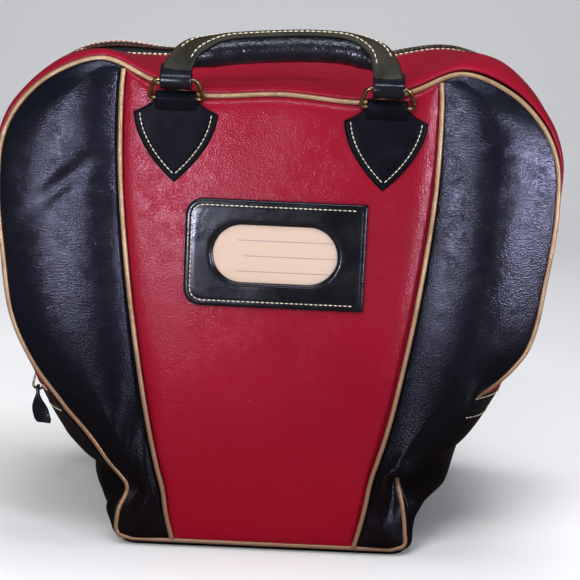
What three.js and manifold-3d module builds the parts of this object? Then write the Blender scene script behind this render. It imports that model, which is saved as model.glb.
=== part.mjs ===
// Bowling ball bag, in millimetres, +Z up, +X to the viewer's right, front face towards -Y.
// The origin is the middle of the underside of the base.
import * as THREE from 'three';
import { mergeVertices } from 'three/addons/utils/BufferGeometryUtils.js';
import Module from 'manifold-3d';

const wasm = await Module();
wasm.setup();

// ---------------------------------------------------------------- driving dimensions
const BALL_DIAMETER = 216;
const GAP = 0.4;                    // clearance left between neighbouring solids

const LINING_FACE = BALL_DIAMETER / 2 + 1.1;   // inner faces of the linings, front and back
const LINING_THICKNESS = 1.0;
const PANEL_THICKNESS = 2.5;
const PANEL_INNER = LINING_FACE + LINING_THICKNESS + GAP;
const PANEL_OUTER = PANEL_INNER + PANEL_THICKNESS;
const LEATHER = 2.0;                // gusset leather
const GUSSET_HALF_DEPTH = PANEL_INNER - 0.8;

const PIPING_RADIUS = 1.7;
const PIPING_Z = 5.6;               // centre line of the piping along the bottom edge
const CORNER_RUN = 10;              // size of the rounded bottom corners
const CORNER_STEPS = 6;             // facets in a rounded corner

const BASE = { halfWidth: 97, halfDepth: 108, thickness: 3, cornerRadius: 12 };
const BOARD = { halfWidth: 93, halfDepth: 104, thickness: 3, cornerRadius: 10 };
const BALL_RING = { innerRadius: 60, outerRadius: 68, height: 20 };

const ZIP = { gap: 0.3, chain: 2.0, chainThickness: 2.4, tapeEdge: 12.6, tapeThickness: 1.0 };
const ZIP_ARC = { centerX: 45, centerZ: 197, radius: 227 };   // left side; mirrored on the right
const ZIP_END_ANGLE = 28.5;         // degrees below the arc's centre
const PATCH = { halfDepth: 15, thickness: 1.4, lift: 1.4, below: 0.62, above: 0.1 };

const TAG = { centerZ: 201, width: 115, height: 69, leather: 2.2, rim: 8, cornerRadius: 11 };
const TAG_WINDOW = { width: 82, height: 40 };
const CARD = { width: 101, height: 50, thickness: 0.4 };

const TAB = {
  x: 66, tipZ: 244, bellyZ: 266, cornerZ: 288, shoulderZ: 295,
  halfWidth: 26.5, neckHalfWidth: 12.4, leather: 2.4,
};
const RING_PIVOT_Z = 297;           // lower bar of each handle ring
const LOOP_RADIUS = 4.3;            // leather loop round a ring bar
const RING_PIVOT_OUT = PANEL_OUTER + LOOP_RADIUS + GAP;
const RING = { wire: 1.6, height: 14, lowerHalf: 17.4, upperHalf: 13.4, corner: 3.6 };
const BORE_RADIUS = RING.wire + GAP;
const HANDLE = { rise: 27, gripRadius: 8, gripEnd: 24 };
const STRAP = { halfWidth: 9, thickness: 2.2, turn: 57 };

// Rest attitudes, in degrees, turned outwards from upright.
const FRONT_POSE = { ring: 30, handle: -33 };
const BACK_POSE = { ring: 145, handle: 160 };

// The slider stands clear of the chain, so that either side of the bag can fold down under it.
const SLIDER = {
  length: 18, width: 10, thickness: 2.2, angle: 24.9, lift: 2.2, bridgeRadius: 2.7, bridgeLength: 4.4,
};
const PULL = { wire: 0.9, halfWidth: 4.2, length: 23 };
const THONG = { width: 12, length: 29, thickness: 2.2, rollRadius: 2.3, overlap: 4 };

// ---------------------------------------------------------------- materials
const paint = (color, roughness, metalness = 0) =>
  new THREE.MeshStandardMaterial({ color, roughness, metalness });
const MATERIAL = {
  red: paint(0x9c1a2c, 0.45),
  black: paint(0x1b1d28, 0.4),
  handleBlack: paint(0x15151c, 0.25),
  gold: paint(0xc8a578, 0.4, 0.4),
  brass: paint(0xb08a4a, 0.3, 1),
  nickel: paint(0xb9b2a4, 0.3, 1),
  tape: paint(0x17171a, 0.8),
  card: paint(0xe9c79a, 0.8),
  clear: paint(0xffffff, 0.1),
  board: paint(0x6b4d31, 0.9),
  lining: paint(0x8a8378, 0.95),
};

// ---------------------------------------------------------------- solids
const DEGREE = Math.PI / 180;
const bag = new THREE.Group();

/** Keeps positions only, merges shared vertices and turns the faces outwards. */
function closed(geometry) {
  const bare = geometry.clone();
  bare.deleteAttribute('normal');
  bare.deleteAttribute('uv');
  const merged = mergeVertices(bare, 1e-4);
  if (signedVolume(merged) < 0) {
    const index = merged.index.array;
    for (let i = 0; i < index.length; i += 3) {
      [index[i], index[i + 1]] = [index[i + 1], index[i]];
    }
  }
  return merged;
}

function signedVolume(geometry) {
  const position = geometry.attributes.position;
  const corner = [new THREE.Vector3(), new THREE.Vector3(), new THREE.Vector3()];
  let sum = 0;
  for (let i = 0; i < geometry.index.count; i += 3) {
    corner.forEach((point, k) => point.fromBufferAttribute(position, geometry.index.getX(i + k)));
    sum += corner[0].dot(corner[1].cross(corner[2]));
  }
  return sum / 6;
}

function toManifold(geometry) {
  const solid = closed(geometry);
  return new wasm.Manifold(new wasm.Mesh({
    numProp: 3,
    vertProperties: new Float32Array(solid.attributes.position.array),
    triVerts: new Uint32Array(solid.index.array),
  }));
}

function fromManifold(manifold) {
  const mesh = manifold.getMesh();
  const geometry = new THREE.BufferGeometry();
  geometry.setAttribute('position', new THREE.BufferAttribute(mesh.vertProperties, 3));
  geometry.setIndex(new THREE.BufferAttribute(mesh.triVerts, 1));
  return geometry;
}

const join = (...geometries) =>
  fromManifold(geometries.map(toManifold).reduce((whole, piece) => whole.add(piece)));
const cut = (geometry, ...tools) =>
  fromManifold(tools.map(toManifold).reduce((whole, tool) => whole.subtract(tool), toManifold(geometry)));
const overlap = (a, b) => fromManifold(toManifold(a).intersect(toManifold(b)));

/** Moves every vertex of a closed geometry by a mapping from its own space to the bag's. */
function mapped(geometry, place) {
  const solid = closed(geometry);
  const position = solid.attributes.position;
  const point = new THREE.Vector3();
  for (let i = 0; i < position.count; i += 1) {
    point.copy(place(point.fromBufferAttribute(position, i)));
    position.setXYZ(i, point.x, point.y, point.z);
  }
  return closed(solid);
}

/** A plate with an outline in X and Z, lying between two Y planes. */
function plate(shape, yFrom, yTo) {
  const depth = yTo - yFrom;
  const options = { depth, bevelEnabled: false, curveSegments: CORNER_STEPS };
  const geometry = new THREE.ExtrudeGeometry(shape, options);
  return geometry.rotateX(Math.PI / 2).translate(0, yTo, 0);
}

/** A rounded rectangle in X and Y, lying between two Z planes. */
function slab({ halfWidth, halfDepth, thickness, cornerRadius }, zFrom) {
  const shape = roundedRectangle(2 * halfWidth, 2 * halfDepth, cornerRadius);
  const options = { depth: thickness, bevelEnabled: false, curveSegments: CORNER_STEPS - 1 };
  const geometry = new THREE.ExtrudeGeometry(shape, options);
  return geometry.translate(0, 0, zFrom);
}

function roundedRectangle(width, height, radius) {
  const [w, h] = [width / 2, height / 2];
  return new THREE.Shape()
    .moveTo(-w + radius, -h)
    .lineTo(w - radius, -h)
    .absarc(w - radius, -h + radius, radius, -Math.PI / 2, 0)
    .lineTo(w, h - radius)
    .absarc(w - radius, h - radius, radius, 0, Math.PI / 2)
    .lineTo(-w + radius, h)
    .absarc(-w + radius, h - radius, radius, Math.PI / 2, Math.PI)
    .lineTo(-w, -h + radius)
    .absarc(-w + radius, -h + radius, radius, Math.PI, Math.PI * 1.5);
}

/** A round bar along X. */
function barX(radius, halfLength, x, y, z, sides = 16) {
  return new THREE.CylinderGeometry(radius, radius, 2 * halfLength, sides)
    .rotateZ(Math.PI / 2).translate(x, y, z);
}

/** A cord of round section round a closed loop of points. */
function closedCord(points, radius, sides) {
  const count = points.length;
  const torusRadius = 10;
  const torus = new THREE.TorusGeometry(torusRadius, 1, sides, count);
  return mapped(torus, (p) => {
    const turn = Math.atan2(p.y, p.x) / (2 * Math.PI);
    const index = Math.round((turn + 1) * count) % count;
    const [before, after] = [points[(index + count - 1) % count], points[(index + 1) % count]];
    const tangent = after.clone().sub(before).normalize();
    const sideways = new THREE.Vector3().crossVectors(tangent, new THREE.Vector3(0, 1, 0)).normalize();
    const across = new THREE.Vector3().crossVectors(sideways, tangent);
    const out = Math.hypot(p.x, p.y) - torusRadius;
    return points[index].clone()
      .addScaledVector(sideways, out * radius)
      .addScaledVector(across, p.z * radius);
  });
}

/** A cord of round section along an open curve that stays in a plane of constant Y. */
function openCord(curve, radius, sides, segments) {
  const rod = new THREE.CylinderGeometry(1, 1, 1, sides, segments);
  return mapped(rod, (p) => {
    const t = p.y + 0.5;
    const tangent = curve.getTangentAt(t);
    const sideways = new THREE.Vector3(tangent.z, 0, -tangent.x);
    const depth = new THREE.Vector3(0, p.z * radius, 0);
    return curve.getPointAt(t).addScaledVector(sideways, p.x * radius).add(depth);
  });
}

function add(name, geometry, material, parent = bag) {
  const mesh = new THREE.Mesh(closed(geometry), material);
  mesh.name = name;
  parent.add(mesh);
  return mesh;
}

// ---------------------------------------------------------------- outlines
// Right half, from the base up to the middle of the top: the edge of the front and back
// panels, and beside it the crest of the gusset half way between them.
const zipArcPoint = (degrees) => [
  -ZIP_ARC.centerX + ZIP_ARC.radius * Math.cos(degrees * DEGREE),
  ZIP_ARC.centerZ + ZIP_ARC.radius * Math.sin(degrees * DEGREE),
];
const HALF_OUTLINE = [
  { edge: [97.5, 3.8], crest: [98.5, 3.8] },
  { edge: [99.5, 18], crest: [104, 20] },
  { edge: [105, 46], crest: [117, 44] },
  { edge: [117, 72], crest: [135, 66] },
  { edge: [133, 94], crest: zipArcPoint(-ZIP_END_ANGLE) },
  { edge: [154, 122], crest: zipArcPoint(-19) },
  { edge: [168, 152], crest: zipArcPoint(-11) },
  { edge: [174, 190], crest: zipArcPoint(-2) },
  { edge: [178, 232], crest: zipArcPoint(9) },
  { edge: [175.5, 267], crest: zipArcPoint(18) },
  { edge: [165, 289], crest: zipArcPoint(25.5) },
  { edge: [143.7, 308.8], crest: [146.7, 313.3] },
  { edge: [112.2, 319.6], crest: [122.5, 320] },
  { edge: [82, 307.5], crest: [85, 319.6] },
  { edge: [55, 299.5], crest: [55, 318] },
  { edge: [0, 302], crest: [0, 317] },
];
const LAST = HALF_OUTLINE.length - 1;
const ZIP_END_INDEX = 4;
const toParameter = (index) => index / (2 * LAST);

function fullCurve(key) {
  const right = HALF_OUTLINE.map((pair) => pair[key]);
  const left = right.map(([x, z]) => [-x, z]);
  const points = [...left, ...right.slice(0, LAST).reverse()].map(([x, z]) => new THREE.Vector3(x, 0, z));
  return new THREE.CatmullRomCurve3(points, false, 'centripetal');
}
const edgeCurve = fullCurve('edge');
const crestCurve = fullCurve('crest');

/** Half width of the red centre panel, from the bottom up. */
const SEAM = new THREE.SplineCurve([
  [60, PIPING_Z], [66, 28], [74, 66], [83, 112], [93, 176], [100, 246], [100.5, 300], [98, 336],
].map(([x, z]) => new THREE.Vector2(x, z)));

/** Closed outline of a front or back panel, drawn in by an inset. */
function panelOutline(inset) {
  const steps = 56;
  const shape = new THREE.Shape();
  for (let i = 0; i <= steps; i += 1) {
    const t = THREE.MathUtils.lerp(toParameter(1), 1 - toParameter(1), i / steps);
    const point = edgeCurve.getPoint(t);
    const tangent = edgeCurve.getTangent(t);
    const [x, z] = [point.x + tangent.z * inset, point.z - tangent.x * inset];
    if (i === 0) shape.moveTo(x, z);
    else shape.lineTo(x, z);
  }
  const side = shape.currentPoint.x;
  const bottom = PIPING_Z + inset;
  shape.quadraticCurveTo(side - 1, bottom, side - CORNER_RUN, bottom);
  shape.lineTo(-side + CORNER_RUN, bottom);
  shape.quadraticCurveTo(-side + 1, bottom, -side, shape.getPoint(0).y);
  return shape;
}

// ---------------------------------------------------------------- base
function base() {
  add('base_panel', slab(BASE, 0), MATERIAL.black);
  const boardZ = BASE.thickness + GAP;
  add('base_board', slab(BOARD, boardZ), MATERIAL.board);
  const { innerRadius, outerRadius, height } = BALL_RING;
  const lip = 2;
  const profile = [
    [innerRadius, 0], [outerRadius, 0], [outerRadius, height - lip], [outerRadius - lip, height],
    [innerRadius + lip, height], [innerRadius, height - lip], [innerRadius, 0],
  ].map(([x, y]) => new THREE.Vector2(x, y));
  const ring = new THREE.LatheGeometry(profile, 40)
    .rotateX(Math.PI / 2).translate(0, 0, boardZ + BOARD.thickness + GAP);
  add('ball_ring', ring, MATERIAL.black);
}

// ---------------------------------------------------------------- gusset and zip
/** A point of the gusset's middle surface: t runs along the outline, y across the bag. */
function gussetPoint(t, y) {
  const bulge = Math.cos((y / GUSSET_HALF_DEPTH) * (Math.PI / 2));
  return edgeCurve.getPoint(t).lerp(crestCurve.getPoint(t), bulge).setY(y);
}

function gussetNormal(t, y) {
  const step = 1e-3;
  const along = gussetPoint(Math.min(t + step, 1), y).sub(gussetPoint(Math.max(t - step, 0), y));
  const across = gussetPoint(t, y + 0.5).sub(gussetPoint(t, y - 0.5));
  return across.cross(along).normalize();
}

/** A sheet that follows the gusset between two parameters, two depths and two offsets. */
function gussetSheet({ from, to, yFrom, yTo, inner, outer, along, across }) {
  const block = new THREE.BoxGeometry(1, 1, 1, along, across, 1);
  return mapped(block, (p) => {
    const t = THREE.MathUtils.lerp(from, to, p.x + 0.5);
    const y = THREE.MathUtils.lerp(yFrom, yTo, p.y + 0.5);
    const offset = THREE.MathUtils.lerp(inner, outer, p.z + 0.5);
    return gussetPoint(t, y).addScaledVector(gussetNormal(t, y), offset);
  });
}

function lowerGussets() {
  const leather = { inner: -LEATHER / 2, outer: LEATHER / 2, along: 9, across: 8 };
  const depth = { yFrom: -GUSSET_HALF_DEPTH, yTo: GUSSET_HALF_DEPTH };
  const top = toParameter(ZIP_END_INDEX - 0.03);
  add('lower_gusset_left', gussetSheet({ from: 0, to: top, ...depth, ...leather }), MATERIAL.black);
  add('lower_gusset_right', gussetSheet({ from: 1 - top, to: 1, ...depth, ...leather }), MATERIAL.black);
  const under = LEATHER / 2 + PATCH.lift;
  const patch = {
    yFrom: -PATCH.halfDepth, yTo: PATCH.halfDepth, along: 4, across: 4,
    inner: under, outer: under + PATCH.thickness,
  };
  const low = toParameter(ZIP_END_INDEX - PATCH.below);
  const high = toParameter(ZIP_END_INDEX + PATCH.above);
  add('zip_end_patch_left', gussetSheet({ from: low, to: high, ...patch }), MATERIAL.black);
  add('zip_end_patch_right', gussetSheet({ from: 1 - high, to: 1 - low, ...patch }), MATERIAL.black);
}

/** The half of the upper gusset and of the zip that belongs to one side of the bag. */
function upperGusset(prefix, side) {
  const reach = { from: toParameter(ZIP_END_INDEX + 0.03), to: 1 - toParameter(ZIP_END_INDEX + 0.03) };
  const strip = (name, near, far, halfThickness, across, material) => {
    const [yFrom, yTo] = side < 0 ? [-far, -near] : [near, far];
    const sheet = gussetSheet({
      ...reach, yFrom, yTo, inner: -halfThickness, outer: halfThickness, along: 44, across,
    });
    add(`${prefix}_${name}`, sheet, material);
  };
  const chainEdge = ZIP.gap + ZIP.chain;
  strip('top_gusset', ZIP.tapeEdge + GAP, GUSSET_HALF_DEPTH, LEATHER / 2, 4, MATERIAL.red);
  strip('zip_tape', chainEdge + GAP, ZIP.tapeEdge, ZIP.tapeThickness / 2, 1, MATERIAL.tape);
  strip('zip_teeth', ZIP.gap, chainEdge, ZIP.chainThickness / 2, 1, MATERIAL.nickel);
}

// ---------------------------------------------------------------- front and back panels
/** Builds one side in a group of its own, facing -Y; the back is turned half round. */
function panels(prefix, side) {
  const group = new THREE.Group();
  group.rotation.z = side < 0 ? 0 : Math.PI;
  bag.add(group);
  const full = plate(panelOutline(PIPING_RADIUS + GAP), -PANEL_OUTER, -PANEL_INNER);
  const seamStrip = (extra) => {
    const points = SEAM.getPoints(24);
    const right = points.map((p) => new THREE.Vector2(p.x + extra, p.y));
    const left = points.map((p) => new THREE.Vector2(-p.x - extra, p.y)).reverse();
    const strip = new THREE.Shape([new THREE.Vector2(SEAM.points[0].x + extra, 0), ...right, ...left,
      new THREE.Vector2(-SEAM.points[0].x - extra, 0)]);
    return plate(strip, -PANEL_OUTER - 1, -PANEL_INNER + 1);
  };
  const halfSpace = (sign) => new THREE.BoxGeometry(400, 20, 800).translate(sign * 200, -PANEL_OUTER, 0);
  const sides = cut(full, seamStrip(GAP / 2));
  add(`${prefix}_center_panel`, overlap(full, seamStrip(-GAP / 2)), MATERIAL.red, group);
  add(`${prefix}_left_panel`, overlap(sides, halfSpace(-1)), MATERIAL.black, group);
  add(`${prefix}_right_panel`, overlap(sides, halfSpace(1)), MATERIAL.black, group);
  const lining = plate(panelOutline(PIPING_RADIUS + 2), -LINING_FACE - LINING_THICKNESS, -LINING_FACE);
  add(`${prefix}_lining`, lining, MATERIAL.lining, group);

  const loop = panelOutline(0).getPoints(CORNER_STEPS).slice(0, -1)
    .map((p) => new THREE.Vector3(p.x, -PANEL_OUTER + 0.8, p.y));
  add(`${prefix}_edge_piping`, closedCord(loop, PIPING_RADIUS, 6), MATERIAL.gold, group);
  for (const [name, sign] of [['left', -1], ['right', 1]]) {
    const points = SEAM.points.slice(0, -2).map((p) => new THREE.Vector3(sign * p.x, 0, p.y));
    points[0].z += 2 * PIPING_RADIUS + GAP;
    points.push(new THREE.Vector3(sign * 100, 0, 309));
    points.forEach((p) => p.setY(-PANEL_OUTER - PIPING_RADIUS - GAP));
    const curve = new THREE.CatmullRomCurve3(points);
    add(`${prefix}_${name}_piping`, openCord(curve, PIPING_RADIUS, 6, 20), MATERIAL.gold, group);
  }
  return group;
}

// ---------------------------------------------------------------- handles
/** Leather chape: a shield sewn to the panel, its neck looped round the ring's lower bar. */
function handleTab(name, x, parent) {
  const { tipZ, bellyZ, cornerZ, shoulderZ, halfWidth, neckHalfWidth, leather } = TAB;
  const shield = new THREE.Shape()
    .moveTo(x, tipZ)
    .quadraticCurveTo(x + halfWidth - 1, bellyZ, x + halfWidth, cornerZ)
    .lineTo(x + neckHalfWidth, shoulderZ)
    .lineTo(x + neckHalfWidth, RING_PIVOT_Z)
    .lineTo(x - neckHalfWidth, RING_PIVOT_Z)
    .lineTo(x - neckHalfWidth, shoulderZ)
    .lineTo(x - halfWidth, cornerZ)
    .quadraticCurveTo(x - halfWidth + 1, bellyZ, x, tipZ);
  const back = -PANEL_OUTER - GAP;
  const loop = barX(LOOP_RADIUS, neckHalfWidth, x, -RING_PIVOT_OUT, RING_PIVOT_Z);
  const bore = barX(BORE_RADIUS, neckHalfWidth + 1, x, -RING_PIVOT_OUT, RING_PIVOT_Z);
  add(name, cut(join(plate(shield, back - leather, back), loop), bore), MATERIAL.handleBlack, parent);
}

/** Trapezium wire ring standing up from its lower bar, which lies along X at its origin. */
function handleRing(name, parent) {
  const { wire, height, lowerHalf, upperHalf, corner } = RING;
  const slope = (lowerHalf - upperHalf) / height;
  const outline = new THREE.Path()
    .moveTo(-lowerHalf + corner, 0)
    .lineTo(lowerHalf - corner, 0)
    .quadraticCurveTo(lowerHalf, 0, lowerHalf - slope * corner, corner)
    .lineTo(upperHalf + slope * corner, height - corner)
    .quadraticCurveTo(upperHalf, height, upperHalf - corner, height)
    .lineTo(-upperHalf + corner, height)
    .quadraticCurveTo(-upperHalf, height, -upperHalf - slope * corner, height - corner)
    .lineTo(-lowerHalf + slope * corner, corner)
    .quadraticCurveTo(-lowerHalf, 0, -lowerHalf + corner, 0);
  const points = outline.getPoints(4).slice(0, -1).map((p) => new THREE.Vector3(p.x, 0, p.y));
  add(name, closedCord(points, wire, 8), MATERIAL.brass, parent);
}

/** Centre line of the grip in the handle's own plane, with the ring bars at z = 0. Years of
 *  carrying have left it highest towards one end. */
const handleCurve = new THREE.CatmullRomCurve3([
  [-1, 0], [-0.985, 0.26], [-0.89, 0.54], [-0.64, 0.76], [-0.1, 0.94],
  [0.36, 1], [0.68, 0.93], [0.89, 0.68], [0.985, 0.3], [1, 0],
].map(([x, z]) => new THREE.Vector3(x * TAB.x, 0, z * HANDLE.rise)));

/** The side of the handle that the strap lies on turns from outwards at its ends to upwards. */
function strapNormal(t) {
  const fromEnd = Math.min(t, 1 - t) / 0.5;
  const turn = THREE.MathUtils.smoothstep(fromEnd, 0.02, 0.62) * STRAP.turn * DEGREE;
  const outward = new THREE.Vector3(0, -Math.cos(turn), Math.sin(turn));
  const tangent = handleCurve.getTangentAt(t);
  return outward.addScaledVector(tangent, -outward.dot(tangent)).normalize();
}

function handle(prefix, parent) {
  const { gripRadius, gripEnd } = HANDLE;
  const length = handleCurve.getLength();
  const gripStart = gripEnd / length;
  const rod = new THREE.CylinderGeometry(1, 1, 1, 10, 18);
  const grip = mapped(rod, (p) => {
    const t = THREE.MathUtils.lerp(gripStart, 1 - gripStart, p.y + 0.5);
    const endness = Math.abs(p.y) * 2;
    const radius = gripRadius * (1 - 0.28 * THREE.MathUtils.smoothstep(endness, 0.8, 1));
    const normal = strapNormal(t);
    const width = handleCurve.getTangentAt(t).cross(normal);
    return handleCurve.getPointAt(t)
      .addScaledVector(normal, p.x * radius)
      .addScaledVector(width, p.z * radius);
  });
  add(`${prefix}_handle_grip`, grip, MATERIAL.handleBlack, parent);

  const block = new THREE.BoxGeometry(1, 1, 1, 28, 2, 1);
  const band = mapped(block, (p) => {
    const t = p.x + 0.5;
    const fromEnd = Math.min(t, 1 - t) * length;
    const onGrip = THREE.MathUtils.smoothstep(fromEnd, 4, gripEnd);
    const lift = THREE.MathUtils.lerp(BORE_RADIUS, gripRadius, onGrip) + GAP;
    const normal = strapNormal(t);
    const width = handleCurve.getTangentAt(t).cross(normal);
    return handleCurve.getPointAt(t)
      .addScaledVector(normal, lift + (p.z + 0.5) * STRAP.thickness)
      .addScaledVector(width, p.y * 2 * STRAP.halfWidth);
  });
  const loops = [-TAB.x, TAB.x].map((x) => barX(BORE_RADIUS + STRAP.thickness, STRAP.halfWidth, x, 0, 0));
  const bores = [-TAB.x, TAB.x].map((x) => barX(BORE_RADIUS, STRAP.halfWidth + 4, x, 0, 0));
  add(`${prefix}_handle_strap`, cut(join(band, ...loops), ...bores), MATERIAL.handleBlack, parent);
}

function carryHandle(prefix, sideGroup, pose) {
  handleTab(`${prefix}_left_handle_tab`, -TAB.x, sideGroup);
  handleTab(`${prefix}_right_handle_tab`, TAB.x, sideGroup);
  for (const [name, x] of [['left', -TAB.x], ['right', TAB.x]]) {
    const ring = new THREE.Group();
    ring.position.set(x, -RING_PIVOT_OUT, RING_PIVOT_Z);
    ring.rotation.x = pose.ring * DEGREE;
    sideGroup.add(ring);
    handleRing(`${prefix}_${name}_ring`, ring);
  }
  const bar = new THREE.Group();
  const lean = pose.ring * DEGREE;
  const [out, up] = [RING.height * Math.sin(lean), RING.height * Math.cos(lean)];
  bar.position.set(0, -RING_PIVOT_OUT - out, RING_PIVOT_Z + up);
  bar.rotation.x = pose.handle * DEGREE;
  sideGroup.add(bar);
  handle(prefix, bar);
}

// ---------------------------------------------------------------- name tag
function nameTag(parent) {
  const { centerZ, width, height, leather, rim, cornerRadius } = TAG;
  const back = -PANEL_OUTER - GAP;
  const [w, h] = [width / 2, height / 2];
  const outline = () => new THREE.Shape()
    .moveTo(w, centerZ - h)
    .lineTo(w, centerZ + h)
    .lineTo(-w + cornerRadius, centerZ + h)
    .absarc(-w + cornerRadius, centerZ + h - cornerRadius, cornerRadius, Math.PI / 2, Math.PI)
    .lineTo(-w, centerZ - h + cornerRadius)
    .absarc(-w + cornerRadius, centerZ - h + cornerRadius, cornerRadius, Math.PI, Math.PI * 1.5);
  const pocketDepth = 1.6;
  const front = back - pocketDepth - leather;
  const pocket = new THREE.BoxGeometry(width, pocketDepth, height - 2 * rim)
    .translate(rim, back - pocketDepth / 2, centerZ);
  const sill = new THREE.BoxGeometry(width, 1, height - 2 * rim).translate(rim, back, centerZ);
  const windowRadius = TAG_WINDOW.height / 2;
  const reach = (TAG_WINDOW.width - TAG_WINDOW.height) / 2;
  const opening = new THREE.Shape()
    .moveTo(-reach, centerZ - windowRadius)
    .lineTo(reach, centerZ - windowRadius)
    .absarc(reach, centerZ, windowRadius, -Math.PI / 2, Math.PI / 2)
    .lineTo(-reach, centerZ + windowRadius)
    .absarc(-reach, centerZ, windowRadius, Math.PI / 2, Math.PI * 1.5);
  const frame = cut(plate(outline(), front, back), pocket, sill, plate(opening, front - 1, back + 1));
  add('name_tag_frame', frame, MATERIAL.handleBlack, parent);

  const cardX = (width - CARD.width) / 2 - 2;
  const cardBack = back - 0.1;
  const card = new THREE.BoxGeometry(CARD.width, CARD.thickness, CARD.height)
    .translate(cardX, cardBack - CARD.thickness / 2, centerZ);
  add('name_card', card, MATERIAL.card, parent);
  const window = new THREE.BoxGeometry(CARD.width, CARD.thickness, CARD.height)
    .translate(cardX, cardBack - CARD.thickness * 1.5 - 0.3, centerZ);
  add('name_tag_window', window, MATERIAL.clear, parent);
}

// ---------------------------------------------------------------- zip slider and pull
/** Built where the left side arc points straight to -X, then turned down to the zip's end. */
function zipSlider() {
  const group = new THREE.Group();
  group.position.set(ZIP_ARC.centerX, 0, ZIP_ARC.centerZ);
  group.rotation.y = -SLIDER.angle * DEGREE;
  bag.add(group);
  const seat = ZIP_ARC.radius + ZIP.chainThickness / 2 + GAP + SLIDER.lift;
  const body = new THREE.ExtrudeGeometry(roundedRectangle(SLIDER.length, SLIDER.width, SLIDER.width * 0.4),
    { depth: SLIDER.thickness, bevelEnabled: false, curveSegments: 4 })
    .rotateY(-Math.PI / 2).translate(-seat, 0, 0);
  const { bridgeRadius, bridgeLength } = SLIDER;
  const bore = PULL.wire + GAP;
  const bridgeOut = seat + SLIDER.thickness + bridgeRadius - 0.5;
  const bridge = new THREE.CylinderGeometry(bridgeRadius, bridgeRadius, bridgeLength, 12)
    .translate(-bridgeOut, 0, 0);
  const foot = new THREE.BoxGeometry(bridgeRadius, bridgeLength, 2 * bridgeRadius)
    .translate(-bridgeOut + bridgeRadius / 2 + 0.5, 0, 0);
  const hole = new THREE.CylinderGeometry(bore, bore, 2 * bridgeLength, 12).translate(-bridgeOut, 0, 0);
  add('zip_slider', cut(join(body, bridge, foot), hole), MATERIAL.nickel, group);

  const pivot = new THREE.Vector3(-bridgeOut, 0, 0)
    .applyAxisAngle(new THREE.Vector3(0, 1, 0), -SLIDER.angle * DEGREE).add(group.position);
  zipPull(pivot);
}

/** Wire loop and leather thong, hanging from a pivot along Y. */
function zipPull(pivot) {
  const pull = new THREE.Group();
  pull.position.copy(pivot);
  bag.add(pull);
  const frame = roundedRectangle(2 * PULL.halfWidth, PULL.length, 2.5).getPoints(4).slice(0, -1)
    .map((p) => new THREE.Vector3(p.x, 0, p.y - PULL.length / 2));
  add('zip_pull', closedCord(frame, PULL.wire, 6).rotateZ(Math.PI / 2), MATERIAL.nickel, pull);

  const { width, length, thickness, rollRadius, overlap: lap } = THONG;
  const strap = plate(roundedRectangle(width, length, width * 0.4), -thickness / 2, thickness / 2)
    .rotateZ(Math.PI / 2).translate(0, 0, -PULL.length - length / 2 + lap);
  const roll = new THREE.CylinderGeometry(rollRadius, rollRadius, width, 12).translate(0, 0, -PULL.length);
  const room = 2 * (PULL.wire + GAP);
  const notch = new THREE.BoxGeometry(2 * lap, 2 * PULL.halfWidth + room, 2 * lap)
    .translate(0, 0, -PULL.length + lap);
  const slot = new THREE.BoxGeometry(room, 2 * width, room).translate(0, 0, -PULL.length);
  add('pull_thong', cut(join(strap, roll), notch, slot), MATERIAL.handleBlack, pull);
}

// ---------------------------------------------------------------- assembly
base();
lowerGussets();
for (const [prefix, side, pose] of [['front', -1, FRONT_POSE], ['back', 1, BACK_POSE]]) {
  upperGusset(prefix, side);
  const group = panels(prefix, side);
  carryHandle(prefix, group, pose);
  if (prefix === 'front') nameTag(group);
}
zipSlider();

export default bag;
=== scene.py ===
"""Bowling ball bag: the finished look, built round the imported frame. Lengths are in millimetres until a
mesh is made. The bag stands on z = 0 and faces -Y; the back is the front turned half round."""
import math

import bpy
import numpy as np
from mathutils import Matrix, Vector


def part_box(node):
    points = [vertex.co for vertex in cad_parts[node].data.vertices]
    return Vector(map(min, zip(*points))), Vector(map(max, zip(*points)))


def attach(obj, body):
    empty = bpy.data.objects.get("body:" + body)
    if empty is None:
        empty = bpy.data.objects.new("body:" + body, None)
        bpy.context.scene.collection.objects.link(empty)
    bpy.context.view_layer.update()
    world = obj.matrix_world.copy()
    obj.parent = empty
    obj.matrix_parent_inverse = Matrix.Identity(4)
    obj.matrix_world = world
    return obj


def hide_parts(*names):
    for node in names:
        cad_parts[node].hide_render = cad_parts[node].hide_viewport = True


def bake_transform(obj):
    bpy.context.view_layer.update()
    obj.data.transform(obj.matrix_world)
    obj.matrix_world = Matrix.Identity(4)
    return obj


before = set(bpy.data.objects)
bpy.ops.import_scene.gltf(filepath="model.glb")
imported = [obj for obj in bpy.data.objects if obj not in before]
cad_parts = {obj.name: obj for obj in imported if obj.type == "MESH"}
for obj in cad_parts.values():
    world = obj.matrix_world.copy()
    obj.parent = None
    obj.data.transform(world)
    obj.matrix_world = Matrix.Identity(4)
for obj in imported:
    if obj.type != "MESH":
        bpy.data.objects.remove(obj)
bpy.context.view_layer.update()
MM = 0.001

# ------------ driving dimensions
PANEL_OUTER = 113.0                # front faces of the panels, from the middle of the bag
SEAM_DEPTH = 112.2                 # centre of the edge piping
PIPING_RADIUS = 1.55
LEATHER, PANEL_LEATHER = 2.0, 2.4
ZIP_ARC = (-45.0, 197.0, 227.0)    # centre x, centre z and radius of the crest's right side
ZIP_END_ANGLE = -28.5
ZIP_END_INDEX = 5                  # outline point where the zip ends and the lower gusset begins
FLAP_INDEX = 5.45                  # the red gusset begins here, above black flaps beside the zip
PEAK_INDEX = 13                    # outline point at the top of a side panel
TAPE_EDGE = 12.6                   # the zip tape meets the leather this far from the middle

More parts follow.
